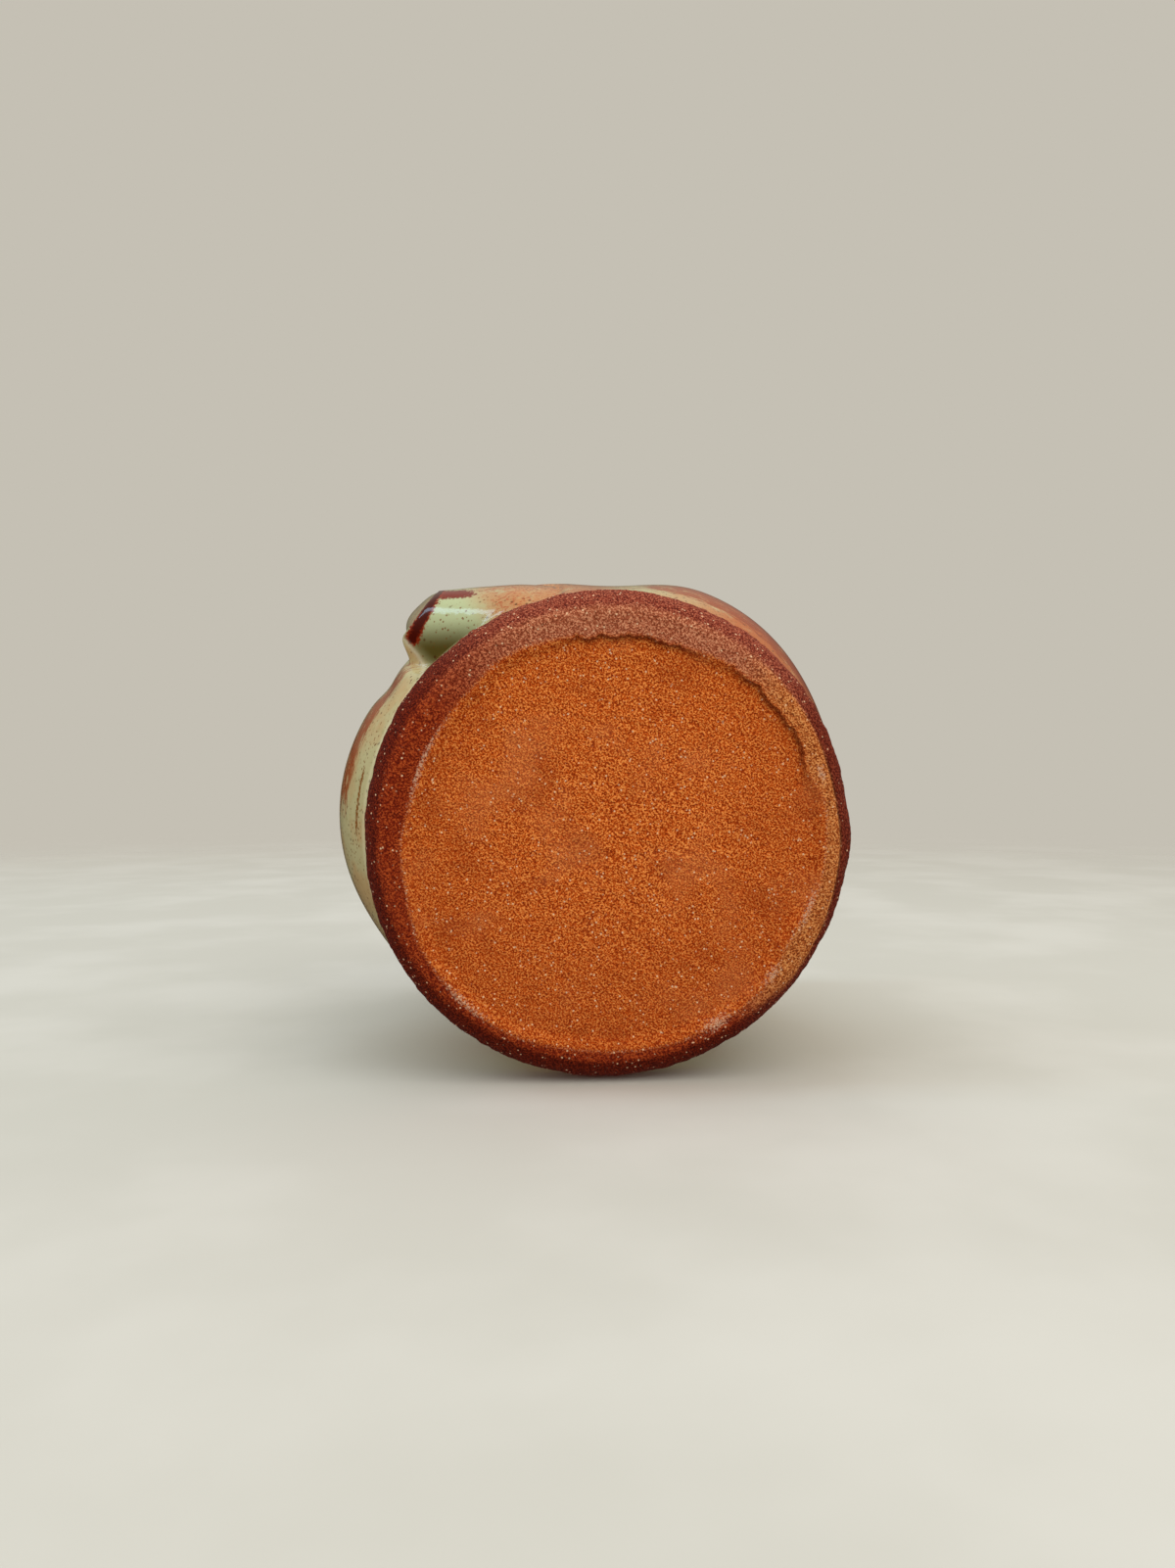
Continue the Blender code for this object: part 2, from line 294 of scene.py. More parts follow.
def write_points(mesh, points):
    spots = (points + np.array(AXIS_SPOT)) * MM
    mesh.vertices.foreach_set("co", spots.ravel())
    mesh.update()


def paint(made, **masks):
    """Store masks between 0 and 1 on the mesh's points, for its material."""
    for name, values in masks.items():
        attribute = made.data.attributes.new(name, "FLOAT", "POINT")
        attribute.data.foreach_set("value", np.clip(values, 0.0, 1.0).astype(np.float32))


def baked(made):
    """Apply every modifier on a piece."""
    bpy.context.view_layer.update()
    graph = bpy.context.evaluated_depsgraph_get()
    mesh = bpy.data.meshes.new_from_object(made.evaluated_get(graph))
    made.modifiers.clear()
    made.data = mesh
    return made


def places_of(made):
    points = read_points(made.data)
    heading = np.degrees(np.arctan2(points[:, 1], points[:, 0]))
    return points, heading, np.hypot(points[:, 0], points[:, 1]), points[:, 2]


# Foot

RING_RADIUS = 32.6
RECESS_DEPTH = 0.9
TRENCH_DEPTH = 0.15
LAND_RISE = 0.12
SOFT_SLOPE = 2.2
TORN_SLOPE = 0.35
RECESS_EDGE = (
    (-163.0, 31.8), (-136.0, 31.4), (-109.0, 32.2), (-86.0, 31.8), (-63.0, 30.5), (-32.0, 29.2),
    (-10.0, 29.5), (9.0, 30.5), (36.0, 29.7), (52.0, 29.7), (74.0, 30.9), (100.0, 31.3),
    (108.0, 30.6), (118.0, 32.0), (141.0, 31.8), (158.0, 30.8), (176.0, 32.0),
)
FLARE_EDGE = (
    (-142.0, 36.7), (-97.0, 36.5), (-52.0, 36.1), (-7.0, 36.4), (38.0, 36.6), (84.0, 36.8),
    (118.0, 36.6), (129.0, 37.1), (140.0, 36.7), (-175.0, 36.6),
)
CREASE_HEADING = 134.0
CREASE_SPREAD = 52.0
CREASE_FULLNESS = 1.6
CREASE_START, CREASE_RUN = 108.0, 55.0
CREASE_NEAR = 0.2
CREASE_OUT = 0.35
CREASE_DEPTH = 0.35
CREASE_WIDTH = 0.03
FLARE_ROUND = 0.92
FLARE_LIFT = 0.85
FOOT_HEADINGS = 900

# Where the recess is torn from the ring: heading and half width
TORN_PLACES = ((44.0, 30.0), (92.0, 30.0))
TORN_FULLNESS = 1.7

# Unevenness of the foot's edges: noise scale, height, seed
EDGE_WANDER = (5.0, 0.22, 2.0)
TORN_WANDER = (11.0, 0.55, 5.0)
TORN_CRUMBS = (36.0, 0.24, 6.0)
FLARE_WANDER = (7.0, 0.22, 8.0)
WANDER_SHAPE = (0.7, 2.1, 5)

# Rows of points along the foot's section
RECESS_ROWS, STEP_ROWS, LAND_ROWS, FLARE_ROWS, TOP_ROWS = 58, 11, 13, 49, 9
HIDDEN_SHARES = (0.95, 0.8, 0.4, 0.02)

# Share by which the recess is shallower at its edge, and share and fade where its trench starts
RECESS_DOME = 0.10
TRENCH_START = (0.955, 0.045)

# Lumps and grains of the clay: noise scale per millimetre and push
LUMP_SCALE, LUMP_PUSH = 0.55, 0.10
LUMP_SHAPE = (0.8, 2.0, 3)
GRAIN_SCALE, GRAIN_PUSH = 2.6, 0.045
LAND_ZONE = 0.3
STEEP_START, STEEP_FADE = 31.0, 5.0

# Darker tones of the foot, with painted shade on the side turned from the light and at the bottom, a darker
# fired tone at the right, and the tan patch: heading, half width and fade, in degrees
DARK_SIDE = (-95.0, 118.0, 42.0)
DARK_RIGHT = (140.0, 62.0, 26.0)
DARK_BOTTOM = (-142.0, 60.0, 40.0)
TAN_PLACE = (128.0, 58.0, 22.0)
DARK_RIGHT_SHARE = 0.75

# Shares of the climb from the foot ring to the flare
FLANK_START, FLANK_FADE = 0.08, 0.55
# Share by which the dark flank starts earlier at the bottom, as painted shade
FLANK_EARLY = 0.22
CREASE_FADE = 0.08
CREASE_LINE_WIDTH = 0.045
TAN_PAST_CREASE, TAN_FADE = 0.06, 0.10

# Chalky rubs on the foot: heading, radius, half width in degrees, half width in millimetres
CHALK_RUBS = (
    (-100.0, 32.0, 12.0, 0.8), (-172.0, 31.8, 7.0, 1.3), (148.0, 31.3, 9.0, 0.8),
    (111.0, 32.6, 3.5, 0.7), (168.0, 31.6, 5.0, 1.2), (48.2, 30.4, 1.6, 0.5), (-30.0, 29.5, 22.0, 0.6),
)


def uneven_rows(headings, scale, height, seed):
    """Noise along the foot's edge, the same on both sides of the seam."""
    rows = []
    for heading in headings:
        angle = math.radians(heading)
        spot = Vector((scale * math.cos(angle), scale * math.sin(angle), seed))
        rows.append(height * noise.fractal(spot, *WANDER_SHAPE))
    return np.array(rows)


def torn_share(heading):
    """One where the recess was torn from the ring, at the photograph's top and upper right."""
    top, right = (heading_hump(heading, *place) for place in TORN_PLACES)
    return np.clip(TORN_FULLNESS * np.maximum(top, right), 0.0, 1.0)


def crease_place(heading):
    """Share of the flare's arc where the crease runs: it moves outwards towards the lower right."""
    return mix(CREASE_NEAR, CREASE_OUT, ease(turned(heading, CREASE_START) / CREASE_RUN))


def make_foot():
    headings = np.arange(FOOT_HEADINGS) * 360.0 / FOOT_HEADINGS
    everywhere = np.ones_like(headings)
    torn = torn_share(headings)
    edge = round_outline(headings, RECESS_EDGE) + uneven_rows(headings, *EDGE_WANDER)
    edge = edge + torn * (uneven_rows(headings, *TORN_WANDER) + uneven_rows(headings, *TORN_CRUMBS))
    flare = round_outline(headings, FLARE_EDGE) + uneven_rows(headings, *FLARE_WANDER)
    slope = mix(SOFT_SLOPE, TORN_SLOPE, torn)
    land_end = np.maximum(RING_RADIUS * everywhere, edge + 0.5)
    crease = heading_hump(headings, CREASE_HEADING, CREASE_SPREAD)
    crease = np.clip(CREASE_FULLNESS * crease, 0.0, 1.0)
    section = []
    # Recess, a little deeper beside the torn edge
    for share in np.linspace(0.02, 1.0, RECESS_ROWS):
        trench = TRENCH_DEPTH * torn * rises(share, *TRENCH_START)
        level = RECESS_DEPTH * (1.0 - RECESS_DOME * share ** 2) + trench
        section.append(((edge - slope) * share, level))
    # Step from the recess down to the ring's land
    step = (1.0 - RECESS_DOME) * RECESS_DEPTH + TRENCH_DEPTH * torn
    for share in np.linspace(0.0, 1.0, STEP_ROWS)[1:]:
        section.append((edge - slope * (1.0 - share), step * (1.0 - ease(share))))
    for share in np.linspace(0.0, 1.0, LAND_ROWS)[1:]:
        section.append((mix(edge, land_end, share), LAND_RISE * ease(share) * everywhere))
    # Rounded flank out to the flare, with its crease
    for share in np.linspace(0.0, 1.0, FLARE_ROWS)[1:]:
        angle = 0.5 * np.pi * share
        groove = CREASE_DEPTH * crease * line_mask(share, crease_place(headings), CREASE_WIDTH)
        out = land_end + (flare - land_end) * math.sin(angle) ** FLARE_ROUND
        climb = (1.0 - math.cos(angle)) ** FLARE_LIFT
        section.append((out, LAND_RISE + (FLARE_LEVEL - LAND_RISE) * climb + groove))
    # Up to the foot's hidden top and back to the axis
    for share in np.linspace(0.0, 1.0, TOP_ROWS)[1:]:
        level = mix(FLARE_LEVEL, FOOT_HEIGHT, share) * everywhere
        section.append((mix(flare, FOOT_TOP_RADIUS, ease(share)), level))
    for share in HIDDEN_SHARES:
        section.append((FOOT_TOP_RADIUS * share * everywhere, FOOT_HEIGHT * everywhere))
    radius, level = (np.array(rows).T for rows in zip(*section))
    grid = polar(headings[:, None] * np.ones_like(radius), radius, level)
    grid = roughened(grid, len(section) - len(HIDDEN_SHARES))
    made = turned_solid("foot_clay", grid, closed=False)
    paint_foot(made, headings, edge, torn, crease, flare)
    return made


def paint_foot(made, headings, edge, torn, crease, flare):
    """Masks for land, flank, the rubbed ridge with chalk and a painted highlight, painted shadow under the
    torn edge, painted shade in the crease, chalky rubs, and the side that is darker as a fired tone and as
    painted shade.
    """
    heading, radius, level = places_of(made)[1:]
    edge, torn, crease, flare = (np.interp(heading % 360.0, headings, row, period=360.0)
                                 for row in (edge, torn, crease, flare))
    climb = np.clip((radius - RING_RADIUS) / (flare - RING_RADIUS), 0.0, 1.0)
    climb = np.where(level > FLARE_LEVEL - 0.3, 1.0, climb)
    crease_climb = np.sin(0.5 * np.pi * crease_place(heading)) ** FLARE_ROUND
    beyond_crease = rises(climb, crease_climb, CREASE_FADE)
    # Painted shade: the dark flank starts earlier at the bottom
    early = FLANK_EARLY * facing(heading, *DARK_BOTTOM)
    flank = ease((climb - FLANK_START + early) / FLANK_FADE)
    dark_right = DARK_RIGHT_SHARE * facing(heading, *DARK_RIGHT) * beyond_crease
    rubs = np.zeros_like(heading)
    for centre, away, spread, width in CHALK_RUBS:
        rub = line_mask(turned(heading, centre), 0.0, spread) * line_mask(radius, away, width)
        rubs = np.maximum(rubs, rub)
    paint(made,
          ring=ease((radius - edge + 0.4) / 1.0),
          flank=mix(flank, beyond_crease, crease),
          # Darker fired tone at the right, and painted shade on the side turned from the light
          toast=np.maximum(facing(heading, *DARK_SIDE), dark_right),
          tan=facing(heading, *TAN_PLACE) * falls(climb, crease_climb + TAN_PAST_CREASE, TAN_FADE),
          # Chalk and a painted highlight along the recess's edge
          ridge=line_mask(radius, edge + 0.1, 0.38) * (1.0 - torn),
          # Painted shadow under the torn edge
          tear=0.55 * line_mask(radius, edge - 0.2, 0.24) * torn,
          # Line along the crease, painted as shade in the clay
          crease=crease * line_mask(climb, crease_climb, CREASE_LINE_WIDTH),
          rubs=rubs)


def roughened(grid, count):
    """Push the visible clay in and out a little: downwards on the base, outwards on the steep flank."""
    for row in range(grid.shape[0]):
        for column in range(count):
            x, y, z = grid[row, column]
            lump = noise.fractal(Vector((x, y, z)) * LUMP_SCALE, *LUMP_SHAPE)
            grain = noise.noise(Vector((x, y, z)) * GRAIN_SCALE)
            away = math.hypot(x, y)
            steep = min(max((away - STEEP_START) / STEEP_FADE, 0.0), 1.0)
            push = LUMP_PUSH * lump + GRAIN_PUSH * grain
            moved = z + push * (1.0 - steep)
            grid[row, column, 2] = max(moved, 0.0) if z < LAND_ZONE else moved
            if away > 0.0:
                grid[row, column, 0] += x / away * push * steep
                grid[row, column, 1] += y / away * push * steep
    return grid


# Glazed body with the handle grown into it

STRAP_WIDTH = 10.4
STRAP_THICK = 5.6
STRAP_TOP_LEVEL = 72.2
COLLAR_LENGTH = 4.0

# The lower root seen from below, as (across, up) places: its slanted end, and how far up its top runs
ROOT_END = ((-29.9, 25.0), (-31.0, 27.5), (-32.0, 29.9), (-28.9, 34.0), (-26.9, 36.8), (-26.3, 37.9))
ROOT_TOP = ((-27.0, 37.9), (-20.0, 38.6), (-13.0, 39.1), (-6.0, 38.9), (2.0, 37.7))
ROOT_CHIN = 30.0
ROOT_NEAR = 17.2
ROOT_FAR = 37.0
ROOT_MIDDLE = 27.0
ROOT_LEAN = 0.68
ROOT_FLOOR = 8.6
ROOT_LENGTH = 28.0
ROOT_STATIONS = 36
ROOT_SIDES = 26
ROOT_UNDERCUT = 0.05

# Crease between the root and the wall below it, as (across, up) places
CREASE_LINE = ((-26.4, 20.5), (-27.0, 22.4), (-28.04, 25.3), (-29.25, 27.3), (-31.7, 30.0))


def across_up(across, up, level):
    return ACROSS * across + UP * up + Vector((0.0, 0.0, level))


def knots_at(knots, value, key):
    """Straight run through (across, up) places, read at a value of one of the two."""
    spots = sorted(knots, key=lambda knot: knot[key])
    return float(np.interp(value, [knot[key] for knot in spots], [knot[1 - key] for knot in spots]))


def root_level(up, top, reach):
    """Level of the bar's near or far face: round towards its top, drawing back a little under its chin."""
    if up < ROOT_CHIN:
        back = ROOT_UNDERCUT * (ROOT_CHIN - up) ** 2
        return reach - back if reach > ROOT_MIDDLE else reach + back
    share = min((up - ROOT_CHIN) / (top - ROOT_CHIN), 1.0)
    return ROOT_MIDDLE + (reach - ROOT_MIDDLE) * math.sqrt(1.0 - share * share)


def root_solid():
    """Bar of smeared clay that comes nearer the table as it runs from its slanted end into the wall."""
    low = ROOT_END[0][1]
    start = ROOT_END[-1][0]
    loops = []
    for station in range(-1, ROOT_STATIONS):
        run = ROOT_LENGTH * max(station, 0) / (ROOT_STATIONS - 1)
        top = knots_at(ROOT_TOP, start + run, 0)
        loop = []
        for far in (False, True):
            for side in range(ROOT_SIDES + 1):
                share = math.sin(0.5 * math.pi * (ROOT_SIDES - side if far else side) / ROOT_SIDES)
                up = mix(low, top, share)
                across = knots_at(ROOT_END, up, 1) + run
                near = max(ROOT_NEAR - ROOT_LEAN * (across - start), ROOT_FLOOR)
                level = root_level(up, top, ROOT_FAR if far else near)
                loop.append(across_up(across, up, ROOT_MIDDLE if station < 0 else level))
        loops.append(loop)
    return swept_solid("root_form", loops)


STRAP_STATIONS = 56
STRAP_SIDES = 44
STRAP_SQUARENESS = (0.72, 0.85)
ROOT_TWIST = 15.0
TWIST_END = 0.6
COLLAR_SINK = 3.0
COLLAR_GROWTH = 0.34
COLLAR_SHARES = (0.25, 0.5, 0.75, 1.0)
STRAP_START = Vector((41.9, -1.2, 25.0))
STRAP_PULLS = (Vector((45.4, -1.4, 44.0)), Vector((51.0, 0.0, 73.2)))


def strap_solid():
    """Strap along one smooth curve, then a collar that widens into the wall."""
    collar_face = float(bare_radius(0.0, STRAP_TOP_LEVEL)) + COLLAR_LENGTH
    start, (low, high) = STRAP_START, STRAP_PULLS
    end = Vector((collar_face, 0.0, STRAP_TOP_LEVEL))
    loops = []
    spot = along = None
    for station in range(STRAP_STATIONS):
        t = station / (STRAP_STATIONS - 1)
        s = 1.0 - t
        spot = s ** 3 * start + 3 * s * s * t * low + 3 * s * t * t * high + t ** 3 * end
        along = s * s * (low - start) + 2 * s * t * (high - low)
        along = (along + t * t * (end - high)).normalized()
        twist = math.radians(-ROOT_TWIST) * float(1.0 - ease(t / TWIST_END))
        across = Vector((-math.sin(twist), math.cos(twist), 0.0))
        across = (across - along * across.dot(along)).normalized()
        outward = across.cross(along)
        loops.append(strap_loop(spot, across, outward, STRAP_WIDTH, STRAP_THICK))
    for share in COLLAR_SHARES:
        grow = COLLAR_GROWTH * share * share
        middle = spot + along * (COLLAR_LENGTH + COLLAR_SINK) * share
        width = STRAP_WIDTH * (1.0 + grow)
        thick = STRAP_THICK * (1.0 + 2.0 * grow)
        loops.append(strap_loop(middle, across, outward, width, thick))
    return swept_solid("strap_form", loops)


def strap_loop(spot, across, outward, width, thick):
    loop = []
    wide, high = STRAP_SQUARENESS
    for side in range(STRAP_SIDES):
        angle = 2.0 * math.pi * side / STRAP_SIDES
        share = math.copysign(abs(math.cos(angle)) ** wide, math.cos(angle))
        lift = math.copysign(abs(math.sin(angle)) ** high, math.sin(angle))
        loop.append(spot + across * (0.5 * width * share) + outward * (0.5 * thick * lift))
    return loop


VOXEL = 0.45
GLAZE_LOW = 7.75
SMOOTHING = 0.5
SMOOTH_PASSES = 6
BLEND_PASSES = 24
BODY_HEADINGS = 300
BODY_LEVELS = 150
OVERRUN = 3.0
SHARP_ANGLE = 60.0

# The glaze thins towards its edges, and its edge at the lip waves as a dipped one does
LIP_THINNING = 0.25
FOOT_THINNING = 0.22
LIP_WAVE = 0.32
LIP_WAVES = ((2, 0.6), (5, 0.5), (9, 0.3))


def make_glazed_body():
    headings = np.arange(BODY_HEADINGS) * (360.0 / BODY_HEADINGS)
    levels = np.linspace(GLAZE_LOW - OVERRUN, CUP_HEIGHT + OVERRUN, BODY_LEVELS)
    spread = np.broadcast_to(headings[:, None], (len(headings), len(levels)))
    height = np.broadcast_to(levels[None, :], spread.shape)
    made = turned_solid("glazed_body", polar(spread, body_radius(spread, height), height), closed=False)
    parts = [made, root_solid(), strap_solid()]
    builder = bmesh.new()
    for part in parts:
        builder.from_mesh(part.data)
    builder.to_mesh(made.data)
    builder.free()
    for part in parts[1:]:
        bpy.data.objects.remove(part)
    fused = made.modifiers.new("fuse", "REMESH")
    fused.mode = "VOXEL"
    fused.voxel_size = VOXEL * MM
    soft = made.modifiers.new("soften", "SMOOTH")
    soft.factor = SMOOTHING
    soft.iterations = SMOOTH_PASSES
    baked(made)
    blend_root(made)
    settle_on_body(made)
    trim_ends(made)
    paint_glaze(made)
    skin = made.modifiers.new("skin", "SOLIDIFY")
    skin.thickness = GLAZE_SKIN * MM
    skin.offset = -1.0
    baked(made)
    made.data.shade_smooth()
    made.data.set_sharp_from_angle(angle=math.radians(SHARP_ANGLE))
    return made


def blend_root(made):
    """Smooth the clay further where the root runs out into the wall, away from its slanted end."""
    points, _, radius, level = places_of(made)
    across = points[:, :2] @ np.array(ACROSS.xy)
    window = rises(across, -21.0, 5.0) * falls(across, 14.0, 6.0) * falls(level, 50.0, 6.0)
    window = window * rises(radius, 30.0, 3.0) * rises(points[:, 0], 5.0, 4.0)
    group = made.vertex_groups.new(name="run_out")
    for index in np.nonzero(window > 0.02)[0]:
        group.add([int(index)], float(window[index]), "REPLACE")
    soft = made.modifiers.new("run_out", "SMOOTH")
    soft.factor = SMOOTHING
    soft.iterations = BLEND_PASSES
    soft.vertex_group = "run_out"
    baked(made)


def settle_on_body(made):
    """Away from the handle the fused surface goes back onto the turned shape exactly."""
    points, heading, radius, level = places_of(made)
    target = body_radius(heading, level)
    lip = rises(level, GLAZE_TOP - 1.2, 1.6)
    foot = falls(level, GLAZE_LOW + 0.9, 0.9)
    keep = 1.0 - ease((np.abs(radius - target) - 0.12) / 0.5)
    inside = (level > GLAZE_LOW - 1.5) & (level < CUP_HEIGHT + 1.0) & (radius > 20.0)
    share = np.where(inside, keep, 0.0)
    settled = mix(radius, target - LIP_THINNING * lip - FOOT_THINNING * foot, share)
    scale = settled / np.maximum(radius, 1e-6)
    points[:, 0] *= scale
    points[:, 1] *= scale
    write_points(made.data, points)


def trim_ends(made):
    """Cut the fused block open at the foot and under the bare lip, with a hand dipped edge at the lip."""
    builder = bmesh.new()
    builder.from_mesh(made.data)
    for level, direction in ((GLAZE_LOW, -1.0), (GLAZE_TOP, 1.0)):
        everything = builder.verts[:] + builder.edges[:] + builder.faces[:]
        bmesh.ops.bisect_plane(builder, geom=everything, plane_co=(0.0, 0.0, level * MM),
                               plane_no=(0.0, 0.0, direction), clear_outer=True)
    builder.to_mesh(made.data)
    builder.free()
    points, heading, _, level = places_of(made)
    top = rises(level, GLAZE_TOP - 5.0, 5.0)
    points[:, 2] += top * LIP_WAVE * wobble(heading, LIP_WAVES, 7)
    write_points(made.data, points)


# Places in the glaze: heading and half width, and a fade where there is one
BREAK_BY_ROOT = (-30.0, 24.0, 12.0)
BREAK_AT_RIGHT = (74.0, 36.0, 18.0)
INNER_LINE_PLACE = (-45.0, 12.0, 6.0)
ROOT_SIDE = (4.0, 15.0, 5.0)
# Where the painted highlight along the rolled edge above the foot lies
ROLL_PLACE = (-48.0, 50.0, 20.0)
THIN_TOP = (25.0, 20.0, 9.0)
FRECKLE_PLACE = (24.0, 16.0, 6.0)
THIN_AT_RIGHT = (86.0, 44.0)

# Levels where the rust brown break begins, beside the root and at the photograph's right
BREAK_LOW = (14.0, 11.8)
BREAK_HIGH = 25.5
BREAK_ELSEWHERE = 0.12
INNER_LINE_LEVEL = 11.4
# Level above the foot of the painted highlight along the rolled edge
ROLL_ABOVE_FOOT = 1.3
STREAK_UP = 37.0

# Slanted arris: distance beyond the root's end and width, each at its chin and at its top
ARRIS_BEYOND = (-1.7, -0.5)
ARRIS_WIDTH = (1.4, 0.85)


def arris_mask(across, up, level):
    """Rust brown edge where the handle's bend turns up, from the chin of the root's end to its top."""
    (low_a, low_u), (top_a, top_u) = ROOT_END[2], ROOT_END[-1]
    run = math.hypot(top_a - low_a, top_u - low_u)
    along = ((across - low_a) * (top_a - low_a) + (up - low_u) * (top_u - low_u)) / run
    beyond = (-(across - low_a) * (top_u - low_u) + (up - low_u) * (top_a - low_a)) / run
    share = np.clip(along / run, 0.0, 1.0)
    arris = line_mask(beyond, mix(*ARRIS_BEYOND, share), mix(*ARRIS_WIDTH, share))
    arris = arris * rises(along, -0.6, 1.6) * falls(along, run + 1.4, 1.0)
    return arris * falls(level, 28.0, 3.0)


def belly_mask(heading, level, handle):
    """Where the glaze breaks on the belly: beside the handle's root and at the photograph's right."""
    belly = np.maximum(facing(heading, *BREAK_BY_ROOT), facing(heading, *BREAK_AT_RIGHT))
    belly = mix(BREAK_ELSEWHERE, 1.0, belly) * (1.0 - handle)
    start = mix(*BREAK_LOW, ease(turned(heading, 30.0) / 30.0))
    return belly * rises(level, start, 3.4) * falls(level, BREAK_HIGH, 5.5)


def paint_glaze(made):
    points, heading, radius, level = places_of(made)
    across = points[:, :2] @ np.array(ACROSS.xy)
    up = points[:, :2] @ np.array(UP.xy)
    handle = rises(radius - body_radius(heading, level), 0.3, 1.5)
    # Crease under the root with a painted highlight along it, and dark pooled glaze with painted shade on
    # its right
    crease_across, crease_up = zip(*CREASE_LINE)
    beside = across - np.interp(up, crease_up, crease_across)
    under = rises(level, 7.5, 1.0) * falls(level, 23.0, 3.0)
    tuck = line_mask(beside, 0.0, 0.4) * rises(up, 20.5, 1.5) * falls(up, 30.6, 1.2) * under
    root_side = facing(heading, *ROOT_SIDE) * rises(beside, -0.3, 0.5)
    # Thin peach glaze, mostly low on the body
    peach = 1.4 * heading_hump(heading, *THIN_AT_RIGHT) + 0.7 * facing(heading, *THIN_TOP)
    peach = peach * mix(0.3, 1.0, falls(level, 52.0, 20.0))
    # Rust brown streak and freckles along the top, right of the root's upper corner
    top_side = rises(level, 8.0, 3.0) * falls(level, 30.0, 6.0)
    streak = line_mask(up, STREAK_UP, 1.1) * rises(across, -27.5, 1.5) * falls(across, -16.8, 6.0)
    paint(made,
          arris=arris_mask(across, up, level),
          belly_break=belly_mask(heading, level, handle),
          inner_line=line_mask(level, INNER_LINE_LEVEL, 0.9) * facing(heading, *INNER_LINE_PLACE),
          green=root_side * falls(level, 30.0, 5.0),
          peach=peach,
          # Dark pooled glaze and painted shade under the root
          pool=root_side * falls(up, 33.4, 5.4) * under,
          # Painted highlight along the glaze's rolled edge above the foot
          roll=line_mask(level, FOOT_HEIGHT + ROLL_ABOVE_FOOT, 0.5) * facing(heading, *ROLL_PLACE),
          streak=streak * top_side,
          freckle=facing(heading, *FRECKLE_PLACE) * top_side,
          # Painted highlight along the crease under the root
          tuck=tuck)


# Clay wall with its bare lip, and the glaze inside

WALL_HEADINGS = 360
WALL_OUTER_LEVELS, WALL_INNER_LEVELS = 60, 50
RIM_WAVE = 0.18
RIM_WAVES = ((2, 0.6), (3, 0.5), (7, 0.2))
LIP_STEPS = 16
LIP_DROP = 0.27
BARE_SET_BACK = 0.45
LINER_HEADINGS = 240
LINER_LEVELS, LINER_FLOOR_ROWS = 60, 24
LINER_THICK = 0.7
LINER_RING_DEPTH = 0.08
LINER_RING_PITCH = 4.7
LINER_EDGE_WAVE = 0.3
LINER_EDGE_WAVES = ((3, 0.6), (5, 0.4))
CORNER_DEPTH, CORNER_HEIGHT = 5.0, 6.0


def turned_sections(name, count, section_at, closed):
    """Solid from sections of (radius, level) points, each worked out for its heading."""
    headings = np.arange(count) * (360.0 / count)
    rows = [[polar(heading, *spot) for spot in section_at(heading)] for heading in headings]
    return turned_solid(name, np.array(rows), closed)


def inner_radius(heading, level):
    return float(bare_radius(heading, level)) - COAT - CLAY_WALL


def wall_section(heading):
    """From the foot up the outside, round the bare lip and down the inside."""
    low = FOOT_HEIGHT + SEAT
    lip_half = 0.5 * (CLAY_WALL + 2.0 * COAT) - 0.25
    lip_base = CUP_HEIGHT - lip_half
    wave = float(RIM_WAVE * wobble(heading, RIM_WAVES, 5))
    section = []
    for level in np.linspace(low, lip_base, WALL_OUTER_LEVELS):
        flush = float(rises(level, GLAZE_TOP - 0.9, 1.4))
        behind = mix(GLAZE_SKIN + 0.1, BARE_SET_BACK, flush)
        section.append((float(body_radius(heading, level)) - behind, level))
    centre = section[-1][0] - lip_half
    for step in range(1, LIP_STEPS):
        angle = math.pi * step / LIP_STEPS
        level = lip_base + (lip_half - LIP_DROP + wave) * math.sin(angle)
        section.append((centre + lip_half * math.cos(angle), level))
    for level in np.linspace(lip_base, low, WALL_INNER_LEVELS):
        flush = float(rises(level, GLAZE_TOP - 6.0, 4.0))
        section.append((inner_radius(heading, level) - mix(0.0, 0.55, flush), level))
    return section


def liner_section(heading):
    """Out under the floor, up the liner's back, down its face and back in over the floor."""
    floor = FOOT_HEIGHT + SEAT
    edge = float(LINER_EDGE_WAVE * wobble(heading, LINER_EDGE_WAVES, 9))
    backs = []
    faces = []
    for level in np.linspace(floor, GLAZE_TOP + edge, LINER_LEVELS):
        wall = inner_radius(heading, level)
        flush = float(rises(level, GLAZE_TOP - 3.7, 4.0))
        rings = LINER_RING_DEPTH * math.sin(2.0 * math.pi * level / LINER_RING_PITCH)
        corner = CORNER_DEPTH * max(1.0 - (level - floor) / CORNER_HEIGHT, 0.0) ** 2
        back = wall - SEAT - mix(0.0, 0.25, flush) - 0.1 - 0.75 * corner
        face = wall - COAT - mix(0.0, 0.15, flush) - corner + rings - 0.1
        backs.append((back, level))
        faces.append((face, max(level, floor + LINER_THICK)))
    section = [(0.3, floor), (0.5 * backs[0][0], floor), *backs, *reversed(faces)]
    for share in np.linspace(0.95, 0.02, LINER_FLOOR_ROWS):
        bottom = floor + LINER_THICK + 0.5 * share ** 6 + 0.12 * math.cos(9.0 * share)
        section.append((faces[0][0] * share, bottom))
    return section


# Materials

def rgb(text):
    """Linear colour from a plain hex value."""
    parts = [int(text[index:index + 2], 16) / 255.0 for index in (0, 2, 4)]
    return (*[part / 12.92 if part <= 0.04045 else ((part + 0.055) / 1.055) ** 2.4 for part in parts], 1.0)


